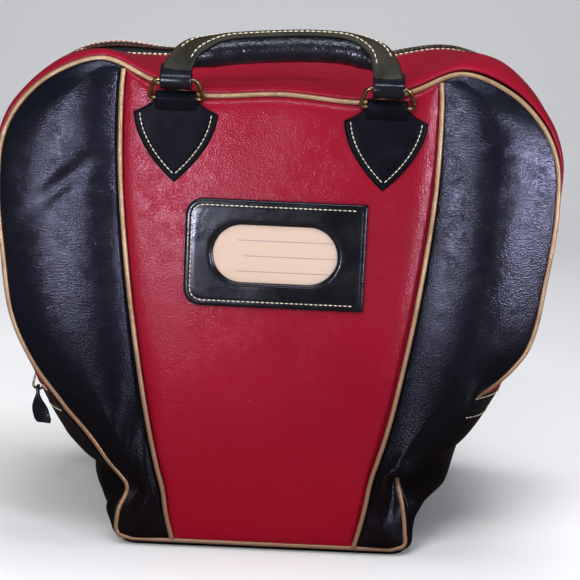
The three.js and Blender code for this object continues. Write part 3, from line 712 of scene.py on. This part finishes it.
def gussets(side, body):
    folds = FOLDS[side]
    top, flap = index_t(ZIP_END_INDEX + 0.03), index_t(FLAP_INDEX)
    depth = np.concatenate([np.linspace(TAPE_EDGE + 0.3, 100, 26), np.linspace(102, SEAM_DEPTH - 1.2, 7)])
    piece = sheet(f"{side}_upper_gusset", gusset_grid(np.linspace(flap, 1 - flap, 260), depth, folds)[0], RED)
    place(piece, side, body, f"{side}_top_gusset")
    row = index_t(FLAP_INDEX - 0.06)
    for hand, t, at in (("left", np.linspace(top, flap, 14), row),
                        ("right", np.linspace(1 - flap, 1 - top, 14), 1 - row)):
        piece = sheet(f"{side}_{hand}_zip_flap", gusset_grid(t, depth, folds, lift=0.1)[0], BLACK)
        place(piece, side, body)
        pile = Pile()
        add_stitches(pile, *row_across(at, TAPE_EDGE + 3, SEAM_DEPTH - 6, folds), 4.0, 3.0, 0.4, lift=0.3)
        place(pile.build(f"{side}_{hand}_flap_stitches", CREAM), side, body)

    t = np.linspace(top + 0.004, 1 - top - 0.004, 300)
    pile = Pile()
    for inner, lift in ((TAPE_EDGE + 1.7, 0.1), (TAPE_EDGE - 3.6, -0.6)):
        line, up = gusset_grid(t, [inner, inner + 1], folds)
        add_stitches(pile, line[:, 0], up[:, 0], 3.6, 2.5, 0.34, lift=lift)
    place(pile.build(f"{side}_zip_stitches", CREAM), side, body)

    t, depth = np.linspace(top, 1 - top, 260), np.linspace(1.2, TAPE_EDGE + 0.2, 6)
    tape = sheet(f"{side}_tape", gusset_grid(t, depth, folds, lift=-0.9)[0], TAPE, 0.8)
    place(tape, side, body, f"{side}_zip_tape")

    teeth = Pile()
    line, n = gusset_grid(np.linspace(top, 1 - top, 700), [0.0, 1.0], folds, lift=-0.4)
    both = resample(np.hstack([line[:, 0], n[:, 0]]), 1.55)
    for k in range(1 if side == "front" else 0, len(both) - 1, 2):
        along = both[k + 1, :3] - both[k, :3]
        along /= np.linalg.norm(along)
        up = both[k, 3:] / np.linalg.norm(both[k, 3:])
        vertices = []
        for reach, width, height in TOOTH_PROFILE:
            for a, h in ((-1, -1), (1, -1), (1, 1), (-1, 1)):
                corner = along * a * width / 1.7 + up * (h * height + 0.2)
                vertices.append(both[k, :3] - (0, reach, 0) + corner)
        teeth.add(vertices, grid_faces(5, 4, close_columns=True) + [(3, 2, 1, 0), (16, 17, 18, 19)])
    piece = teeth.build(f"{side}_zip_chain", ZIP_METAL, smooth=False)
    place(piece, side, body, f"{side}_zip_teeth")


def lower_gussets():
    """Black leather below the zip, one half for each side of the bag."""
    top, row = index_t(ZIP_END_INDEX + 0.06), index_t(ZIP_END_INDEX - 0.12)
    depth = np.concatenate([np.linspace(0, 100, 40), np.linspace(102, SEAM_DEPTH - 1.2, 7)])
    for hand, side in (("left", "front"), ("left", "back"), ("right", "front"), ("right", "back")):
        folds, sign = FOLDS[side], -1 if side == "front" else 1
        at_start = (hand == "left") == (side == "front")
        t = np.linspace(0, top, 90) if at_start else np.linspace(1 - top, 1, 90)
        leather = sheet(f"{hand}_lower_gusset_{side}", gusset_grid(t, depth, folds)[0], BLACK)
        pile = Pile()
        line, up = row_across(row if at_start else 1 - row, 3, SEAM_DEPTH - 8, folds)
        add_stitches(pile, line, up, 4.0, 3.0, 0.36)
        for piece in (leather, pile.build(f"{hand}_gusset_stitches_{side}", CREAM)):
            place(piece, side)
            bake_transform(piece)
        if side == "front":
            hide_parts(f"lower_gusset_{hand}")


# ------------ shaped leather plates
def outline_normals(outline):
    """Inward normals of a closed outline that runs anticlockwise."""
    tangent = np.roll(outline, -1, axis=0) - np.roll(outline, 1, axis=0)
    tangent /= np.linalg.norm(tangent, axis=1, keepdims=True)
    return np.stack([-tangent[:, 1], tangent[:, 0]], axis=1)


def quarter_turn(x, y, radius, start, count):
    turn = np.linspace(start, start + math.pi / 2, count)
    return [(x + radius * math.cos(a), y + radius * math.sin(a)) for a in turn]


def quadratic(a, b, c, count):
    s = np.linspace(0, 1, count, endpoint=False)[:, None]
    return (1 - s) ** 2 * np.array(a) + 2 * s * (1 - s) * np.array(b) + s**2 * np.array(c)


def lofted(rings, cap=True):
    """Vertices and faces of a plate made of rings of equal count, from its back edge to its middle."""
    count = len(rings[0])
    vertices = np.vstack(rings)
    faces = grid_faces(len(rings), count, close_columns=True)
    if cap:
        last = (len(rings) - 1) * count
        faces += [tuple(range(last, last + count)), tuple(range(count))[::-1]]
    return vertices, faces


def surface_out(x, z, folds):
    return SEAM_DEPTH + 2.2 + crown(x, z, folds)


def tab_side():
    """Right side of a handle tab, from its tip up to the ring, as x from its middle and z."""
    return resample(np.vstack([
        quadratic((0, TAB_TIP), (TAB_HALF - 1.5, TAB_BELLY), (TAB_HALF, TAB_CORNER), 30),
        quadratic((TAB_HALF, TAB_CORNER), (18, TAB_CORNER + 3.4), (NECK_HALF + 1.2, TAB_SHOULDER), 12),
        [(NECK_HALF + 0.4, TAB_SHOULDER + 1.0), (NECK_HALF, RING_Z + 1.5)],
    ]), 0.9)


def sleeve(half, bore, radius, up, down):
    """Leather rolled round a bar along X: longer above or below the bar where it joins its strap."""
    turn = np.linspace(0, math.tau, 40, endpoint=False)
    high, low = np.maximum(np.sin(turn), 0), np.maximum(-np.sin(turn), 0)
    skin_line = np.stack([0 * turn, np.cos(turn) * (radius - 0.9 * (high * (up > 0) + low * (down > 0))),
                          np.sin(turn) * (radius + up * high + down * low)], axis=1)
    hole = np.stack([0 * turn, np.cos(turn) * bore, np.sin(turn) * bore], axis=1)
    stations = ((0.9, -1.0), (0.97, -0.97), (1.0, -0.88), (1.02, 0.0), (1.0, 0.88), (0.97, 0.97), (0.9, 1.0))
    rows = [skin_line * scale + (w * half, 0, 0) for scale, w in stations]
    rows = [hole - (0.95 * half, 0, 0)] + rows + [hole + (0.95 * half, 0, 0)]
    return np.vstack(rows), grid_faces(len(rows), len(turn), True, True)


def handle_tabs(side, body):
    edge = tab_side()
    outline = resample(np.vstack([edge, edge[::-1] * (-1, 1)]), 0.45)
    u = np.linspace(-1, 1, 49)
    u = np.sign(u) * np.abs(u) ** 0.8
    flat = np.stack([edge[:, :1] * u, edge[:, 1:] + 0 * u], axis=-1)
    distance = np.min(np.linalg.norm(flat[..., None, :] - outline, axis=-1), axis=-1)
    rounded = 2.7 * np.sqrt(1 - (1 - np.clip(distance / 1.3, 0, 1)) ** 2)
    sewn = 1 - smooth_step(flat[..., 1], TAB_CORNER - 4, TAB_CORNER)
    thick = rounded + 0.9 * (1 - np.exp(-distance / 9)) - 0.35 * bump(distance - 4.0, 0.8) * sewn
    seam = resample(edge[edge[:, 1] < TAB_CORNER - 0.5], 0.5)
    inward = np.stack([-np.gradient(seam[:, 1]), np.gradient(seam[:, 0])], axis=1)
    seam = (seam + 4.0 * inward / np.linalg.norm(inward, axis=1, keepdims=True))[9:]
    for hand, x0 in (("left", -TAB_X), ("right", TAB_X)):
        base = surface_out(x0, TAB_CORNER - 12, FOLDS[side]) - 0.8
        grid = front_points(flat[..., 0] + x0, base + thick, flat[..., 1])
        piece = sheet(f"{side}_{hand}_tab_leather", grid, TAB, 2.6)
        place(piece, side, body, f"{side}_{hand}_handle_tab")
        pile = Pile()
        rows, faces = sleeve(NECK_HALF, RING_WIRE + 0.2, 4.9, 0.0, 3.4)
        pile.add(rows + (x0, -RING_OUT, RING_Z), faces)
        for sign in (1, -1):
            line = front_points(sign * seam[:, 0] + x0, base + 2.9, seam[:, 1])
            add_stitches(pile, line, (0, -1.0, 0), 2.9, 2.3, 0.36, index=1, lift=0.25)
        place(pile.build(f"{side}_{hand}_tab_loop", [TAB, CREAM]), side, body)


# ------------ rings and handles
def tilt(points, pivot, degrees):
    """Turns points about an X axis line through the pivot (y, z), outwards for positive angles."""
    c, s = math.cos(math.radians(degrees)), math.sin(math.radians(degrees))
    return np.array(points, float) @ ((1, 0, 0), (0, c, s), (0, -s, c)) + (0, *pivot)


SIXTHS = np.arange(6) / 6


def rings(side, pose):
    """Trapezium wire rings: straight sides between rounded corners."""
    h, low, up, c = RING_HEIGHT, RING_LOWER, RING_UPPER, RING_CORNER
    slope = (low - up) / h
    half = np.vstack([
        straight((0, 0), (low - c, 0))(SIXTHS),
        quadratic((low - c, 0), (low, 0), (low - slope * c, c), 8),
        straight((low - slope * c, c), (up + slope * c, h - c))(SIXTHS),
        quadratic((up + slope * c, h - c), (up, h), (up - c, h), 8),
        straight((up - c, h), (0, h))(SIXTHS),
    ])
    outline = np.vstack([half, [(0, h)], half[1:][::-1] * (-1, 1)])
    flat = front_points(outline[:, 0], 0, outline[:, 1])
    vertices, faces = tube_data(flat, RING_WIRE - 0.2, 14, closed=True)
    vertices = tilt(vertices, (-RING_OUT, RING_Z), pose[0])
    for hand, x0 in (("left", -TAB_X), ("right", TAB_X)):
        piece = make_object(f"{side}_{hand}_wire_ring", vertices + (x0, 0, 0), faces, BRASS)
        place(piece, side, f"{side}_{hand}_ring", f"{side}_{hand}_ring")


HANDLE_CURVE = Spline([(x * TAB_X, z * HANDLE_RISE) for x, z in (
    (-1, 0), (-0.985, 0.26), (-0.89, 0.54), (-0.64, 0.76), (-0.1, 0.94),
    (0.36, 1), (0.68, 0.93), (0.89, 0.68), (0.985, 0.3), (1, 0))])
HANDLE_STEP = 0.25
# Across the strap, in half widths, and its height there: rounded edges, grooves for the stitches.
STRAP_SECTION = ((-1, 0.0), (-1.0, 0.9), (-0.93, 1.7), (-0.8, 1.95), (-0.62, 1.75), (-0.45, 2.1), (0, 2.35),
                 (0.45, 2.1), (0.62, 1.75), (0.8, 1.95), (0.93, 1.7), (1.0, 0.9), (1, 0.0), (0, 0.1))


def handle_frames(count):
    """Points, strap-side normals, directions across and distances from the end, along the handle."""
    x, z = resample(HANDLE_CURVE.at(np.linspace(0, 1, 500)), HANDLE_STEP).T
    fine = front_points(x, 0, z)
    at = np.linspace(0, len(x) - 1, count).round().astype(int)
    tangent = np.gradient(fine, axis=0)[at]
    tangent /= np.linalg.norm(tangent, axis=1, keepdims=True)
    t = at / at[-1]
    from_end = np.clip((np.minimum(t, 1 - t) / 0.5 - 0.02) / 0.6, 0, 1)
    turn = np.radians(57) * (3 * from_end**2 - 2 * from_end**3)
    n = np.stack([0 * turn, -np.cos(turn), np.sin(turn)], axis=1)
    n -= tangent * np.sum(n * tangent, axis=1, keepdims=True)
    n /= np.linalg.norm(n, axis=1, keepdims=True)
    return fine[at], n, np.cross(tangent, n), np.minimum(t, 1 - t) * len(x) * HANDLE_STEP


def handle(side, pose):
    lean = math.radians(pose[0])
    pivot = (-RING_OUT - RING_HEIGHT * math.sin(lean), RING_Z + RING_HEIGHT * math.cos(lean))
    body = f"{side}_handle"
    p, n, width, from_end = handle_frames(150)

    keep = from_end > 13
    radius = GRIP_RADIUS * (0.62 + 0.38 * smooth_step(from_end[keep], 13, 34))
    sides = 28
    vertices, faces = tube_data(p[keep], radius, sides, normals=n[keep])
    centres = np.repeat(p[keep], sides, axis=0)
    x, y, z = vertices.T
    fine = 0.5 * waves(x, y + z, 1.1, 0.33) + 0.4 * waves(x * 1.7, y - z, 2.2, 0.6)
    vertices = centres + (vertices - centres) * (1 + 0.03 * fine[:, None])
    piece = make_object(f"{side}_rolled_grip", tilt(vertices, pivot, pose[1]), faces, HANDLE)
    smooth = piece.modifiers.new("smooth", "SUBSURF")
    smooth.levels = smooth.render_levels = 1
    place(piece, side, body, f"{side}_handle_grip")

    lift = 2.3 + (GRIP_RADIUS - 2.6) * smooth_step(from_end, 3, 26)
    half = STRAP_HALF - 2.6 * smooth_step(from_end, 14, 44)

    def strap_line(across, height):
        droop = 0.25 * across * across * half * smooth_step(from_end, 10, 30)
        return p + n * (lift + height - droop)[:, None] + width * (across * half)[:, None]

    strap = Pile()
    sections = np.stack([strap_line(*corner) for corner in STRAP_SECTION], axis=1)
    strap.add(*lofted(sections))
    for sign in (-1, 1):
        rows, faces = sleeve(9.8, RING_WIRE + 0.2, 5.8, 5.4, 0.0)
        strap.add(rows + (sign * TAB_X, 0, 0), faces, 2)
    sewn = from_end > 15
    for across in (-0.62, 0.62):
        add_stitches(strap, strap_line(across, 1.75)[sewn], n[sewn], 3.5, 2.7, 0.42, index=1, lift=0.25)
    strap.vertices = tilt(strap.vertices, pivot, pose[1]).tolist()
    piece = strap.build(f"{side}_stitched_strap", [STRAP, CREAM, SLEEVE])
    place(piece, side, body, f"{side}_handle_strap")


# ------------ name tag
def tag_outline(inset=0.0):
    """Tag outline anticlockwise from the lower right: square on the right, rounded on the left."""
    w, h, r = TAG_WIDTH / 2 - inset, TAG_HEIGHT / 2 - inset, TAG_CORNER - inset
    points = [(w, s) for s in np.linspace(-h, h, 22)[:-1]]
    points += [(s, h) for s in np.linspace(w, -w + r, 34)[:-1]]
    points += quarter_turn(-w + r, h - r, r, math.pi / 2, 10)
    points += [(-w, s) for s in np.linspace(h - r, -h + r, 18)[1:-1]]
    points += quarter_turn(-w + r, -h + r, r, math.pi, 10)
    points += [(s, -h) for s in np.linspace(-w + r, w, 34)[1:-1]]
    return np.array(points)


def stadium_point(angle, width, height):
    """Point of a stadium in a direction from its middle."""
    r, reach = height / 2, (width - height) / 2
    c, s = math.cos(angle), math.sin(angle)
    flat = r / abs(s) if abs(s) > 1e-6 else 1e9
    if abs(c * flat) <= reach:
        return (c * flat, s * flat)
    b = abs(c) * reach
    length = b + math.sqrt(b * b - reach * reach + r * r)
    return (c * length, s * length)


def on_tag(x, z, height):
    """Points over the panel at the tag, x and z from the tag's middle."""
    return front_points(x, surface_out(x, z + TAG_Z, FOLDS["front"]) - 1.2 + height, z + TAG_Z)


def name_tag():
    outline, groove = tag_outline(), 3.9
    hole = np.array([stadium_point(math.atan2(z, x), WINDOW_WIDTH, WINDOW_HEIGHT) for x, z in outline])
    outward = -outline_normals(hole)
    edge, brim = tag_outline(4.8), hole + outward * 1.2
    rings = [(tag_outline(amount), height) for amount, height in (
        (0, 0.0), (0, 3.3), (0.3, 3.9), (1.0, 4.3), (3.1, 4.3), (groove, 4.05), (4.8, 4.3))]
    rings += [(edge + (brim - edge) * share, 4.3) for share in (0.2, 0.4, 0.6, 0.8)]
    rings += [(hole + outward * amount, height) for amount, height in (
        (1.2, 4.3), (0.4, 4.15), (0.0, 3.8), (0.0, 2.3), (-1.5, 2.1))]
    pile = Pile()
    pile.add(*lofted([on_tag(*ring.T, height) for ring, height in rings], cap=False))
    sewn = np.arange(len(outline)) > 20
    sewn &= outline[:, 0] < TAG_WIDTH / 2 - 1.5
    line = on_tag(*tag_outline(groove)[sewn].T, 4.05)
    add_stitches(pile, line, (0, -1.0, 0), 3.1, 2.3, 0.36, index=1, lift=0.25)
    piece = pile.build("tag_leather_frame", [TAG, CREAM])
    place(piece, "front", "front_side", "name_tag_frame")

    for name, node, body, slot, material, height, w, h in (
            ("ruled_name_card", "name_card", "name_card", "card", CARD, 1.2, 101, 50),
            ("tag_window_sheet", "name_tag_window", "front_side", "clear_plastic", WINDOW, 1.75, 99, 49)):
        x, z = np.meshgrid(np.linspace(-w / 2, w / 2, 30) + 5, np.linspace(-h / 2, h / 2, 14), indexing="ij")
        place(sheet(name, on_tag(x, z, height), material, 0.35, flip=True), "front", body, node)


# ------------ base, zip ends and slider
def rounded_rectangle(width, depth, radius, steps=9):
    w, d = width / 2 - radius, depth / 2 - radius
    points = []
    for k, (x, y) in enumerate(((w, -d), (w, d), (-w, d), (-w, -d))):
        points += quarter_turn(x, y, radius, (k - 1) * math.pi / 2, steps)
    return np.array(points)


def flat_plate(name, outline, steps, material, node, smooth=True):
    """A level plate from rings of its outline, each drawn in by an amount at a height."""
    inward = outline_normals(outline)
    rings = [np.insert(outline + inward * amount, 2, height, axis=1) for amount, height in steps]
    place(make_object(name, *lofted(rings), material, smooth), "front", "root", node)


def base_pieces():
    flat_plate("base_leather", rounded_rectangle(190, 216, 12),
               ((1.2, 0.0), (0.3, 0.5), (0.0, 1.6), (0.5, 2.7), (1.6, 3.1)), BLACK,
               "base_panel")
    flat_plate("stiff_board", rounded_rectangle(158, 192, 18),
               ((0.4, 3.6), (0.0, 4.0), (0.0, 6.0), (0.4, 6.4)), BOARD, "base_board", smooth=False)
    profile = ((60, 6.8), (67.4, 6.8), (68, 7.4), (68, 24.6), (67.2, 26.1), (65.8, 26.8), (62.2, 26.8),
               (60.8, 26.1), (60, 24.6))
    turn = np.linspace(0, math.tau, 96, endpoint=False)
    vertices = [(r * math.cos(a), r * math.sin(a), z) for a in turn for r, z in profile]
    piece = make_object("ball_rest_ring", vertices, grid_faces(96, 9, True, True), PLASTIC)
    place(piece, "front", "root", "ball_ring")


def zip_end_patches():
    """Leather over each zip end, from the back half round to the front half."""
    ends = np.linspace(index_t(ZIP_END_INDEX - 0.6), index_t(ZIP_END_INDEX + 0.12), 20)
    for hand in ("left", "right"):
        halves = []
        for side in ("back", "front"):
            t = ends if (hand == "left") == (side == "front") else 1 - ends
            halves.append(gusset_grid(t, np.linspace(0, 16, 9), FOLDS[side], lift=1.5)[0])
        back = (halves[0] * (-1, -1, 1))[:, :0:-1]
        whole = np.concatenate([back, halves[1]], axis=1)
        piece = sheet(f"{hand}_zip_patch", whole, BLACK, 1.2, flip=(hand == "left"))
        place(piece, "front", "root", f"zip_end_patch_{hand}")


def slider_and_pull():
    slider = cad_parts["zip_slider"]
    slider.data.materials.clear()
    slider.data.materials.append(ZIP_METAL)
    soften_edges(slider, 0.5)

    low, high = (np.array(corner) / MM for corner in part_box("zip_pull"))
    radius = 0.9
    middle, top = (low[0] + high[0]) / 2, high[2] - radius
    length = high[2] - low[2] - 2 * radius
    across, down = rounded_rectangle(high[1] - low[1] - 2 * radius, length, 2.4, 6).T
    down = down - length / 2
    twist = np.radians(62) * smooth_step(-down / length, 0.08, 0.6)
    sine, cosine = np.sin(twist), np.cos(twist)
    wire = np.stack([middle - across * sine, across * cosine, top + down], axis=1)
    normals = np.stack([cosine, sine, 0 * twist], axis=1)
    vertices, faces = tube_data(wire, radius, 10, closed=True, normals=normals)
    place(make_object("pull_wire", vertices, faces, ZIP_METAL), "front", "zip_pull", "zip_pull")

    low, high = (np.array(corner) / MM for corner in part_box("pull_thong"))
    rows, count = [], 22
    for s in np.linspace(0, 1, count):
        width = 3.4 + 3.0 * smooth_step(s, 0.0, 0.75) - 1.2 * smooth_step(s, 0.9, 1)
        twist = math.radians(74) * smooth_step(s, 0.05, 0.7)
        for a, b in ((-1, -1.1), (1, -1.1), (1, 1.1), (-1, 1.1)):
            x = middle + b * math.cos(twist) - a * width * math.sin(twist) + 5.0 * s * s
            y = b * math.sin(twist) + a * width * math.cos(twist) - 2.0 * s
            rows.append((x, y, high[2] + (low[2] - high[2]) * s))
    ends = [(3, 2, 1, 0), tuple(range(4 * count - 4, 4 * count))]
    piece = make_object("leather_thong", rows, grid_faces(count, 4, close_columns=True) + ends, HANDLE)
    soften_edges(piece, 0.6)
    place(piece, "front", "zip_pull", "pull_thong")


# ------------ studio
def area_light(name, location, target, size, power, color, mirrored=True, lit=True):
    data = bpy.data.lights.new(name, "AREA")
    data.shape, data.size, data.size_y = "RECTANGLE", size[0], size[1]
    data.energy, data.color = power, color
    obj = bpy.data.objects.new(name, data)
    obj.location = location
    obj.visible_glossy, obj.visible_diffuse = mirrored, lit
    obj.rotation_euler = (Vector(target) - Vector(location)).to_track_quat("-Z", "Y").to_euler()
    bpy.context.scene.collection.objects.link(obj)


def backdrop():
    """Floor that curves up into a wall behind the bag."""
    half, bend, start, wall = 3000, 800, 1200, 4000
    line = [(-half, 0)] + quarter_turn(start, bend, bend, -math.pi / 2, 14) + [(start + bend, wall)]
    vertices = [(x, y, z) for x in (-half, half) for y, z in line]
    make_object("floor", vertices, grid_faces(2, len(line)), floor_material())


def studio():
    """Soft light; only the strip and the two sheen lights show in glossy leather."""
    bpy.context.scene.view_settings.view_transform = "Standard"
    world = bpy.context.scene.world = bpy.data.worlds.new("studio")
    world.use_nodes = True
    tree = world.node_tree
    background = tree.nodes["Background"]
    background.inputs["Color"].default_value = (0.93, 0.95, 1.0, 1)
    path, strength = tree.nodes.new("ShaderNodeLightPath"), tree.nodes.new("ShaderNodeMapRange")
    strength.inputs["To Min"].default_value, strength.inputs["To Max"].default_value = 0.3, 0.07
    tree.links.new(path.outputs["Is Glossy Ray"], strength.inputs["Value"])
    tree.links.new(strength.outputs["Result"], background.inputs["Strength"])
    middle, left, right = (0, 0, 0.17), (-0.10, -0.1, 0.23), (0.16, -0.1, 0.22)
    area_light("key", (-0.55, -1.3, 0.95), middle, (0.55, 0.4), 13, (1.0, 0.98, 0.97), mirrored=False)
    area_light("fill", (1.15, -1.0, 0.6), middle, (0.35, 0.6), 6, (0.9, 0.93, 1.0), mirrored=False)
    area_light("top", (0.1, 0.1, 1.4), middle, (1.0, 0.4), 13, (0.97, 0.98, 1.0), mirrored=False)
    area_light("strip", (0, -0.75, 1.15), middle, (0.9, 0.1), 5.5, (0.9, 0.92, 1.0))
    area_light("left_sheen", (-0.31, -1.0, 0.17), left, (0.20, 0.06), 3.4, (0.9, 0.88, 1.0), lit=False)
    area_light("right_sheen", (0.80, -0.90, 0.21), right, (0.10, 0.26), 7, (0.88, 0.86, 1.0), lit=False)


def floor_material():
    """Pale floor; glossy leather mirrors it darker, as it would the dim room round a studio table."""
    n = Nodes("pale_floor")
    path = n.node("ShaderNodeLightPath")
    return n.finish(n.mix(path.outputs["Is Glossy Ray"], (0.86, 0.86, 0.86), (0.065, 0.046, 0.040)), 0.8)


def camera():
    """Just above the middle of the front, rolled a little because the soft bag leans."""
    elevation, roll, view = math.radians(11), math.radians(2.6), math.radians(20.4)
    target, distance = Vector((0.0105, 0, 0.1555)), 1.15
    data = bpy.data.cameras.new("camera")
    data.lens = data.sensor_width / (2 * math.tan(view / 2))
    obj = bpy.data.objects.new("camera", data)
    bpy.context.scene.collection.objects.link(obj)
    offset = Vector((0, -math.cos(elevation), math.sin(elevation))) * distance
    obj.location = target + offset
    look = (-offset).to_track_quat("-Z", "Y").to_matrix()
    obj.rotation_euler = (look @ Matrix.Rotation(roll, 3, "Z")).to_euler()
    bpy.context.scene.camera = obj


# ------------ assembly
for side, pose in POSES.items():
    body = f"{side}_side"
    panels(side, body)
    piping(side, body)
    gussets(side, body)
    handle_tabs(side, body)
    rings(side, pose)
    handle(side, pose)
lower_gussets()
name_tag()
base_pieces()
zip_end_patches()
slider_and_pull()
backdrop()
studio()
camera()
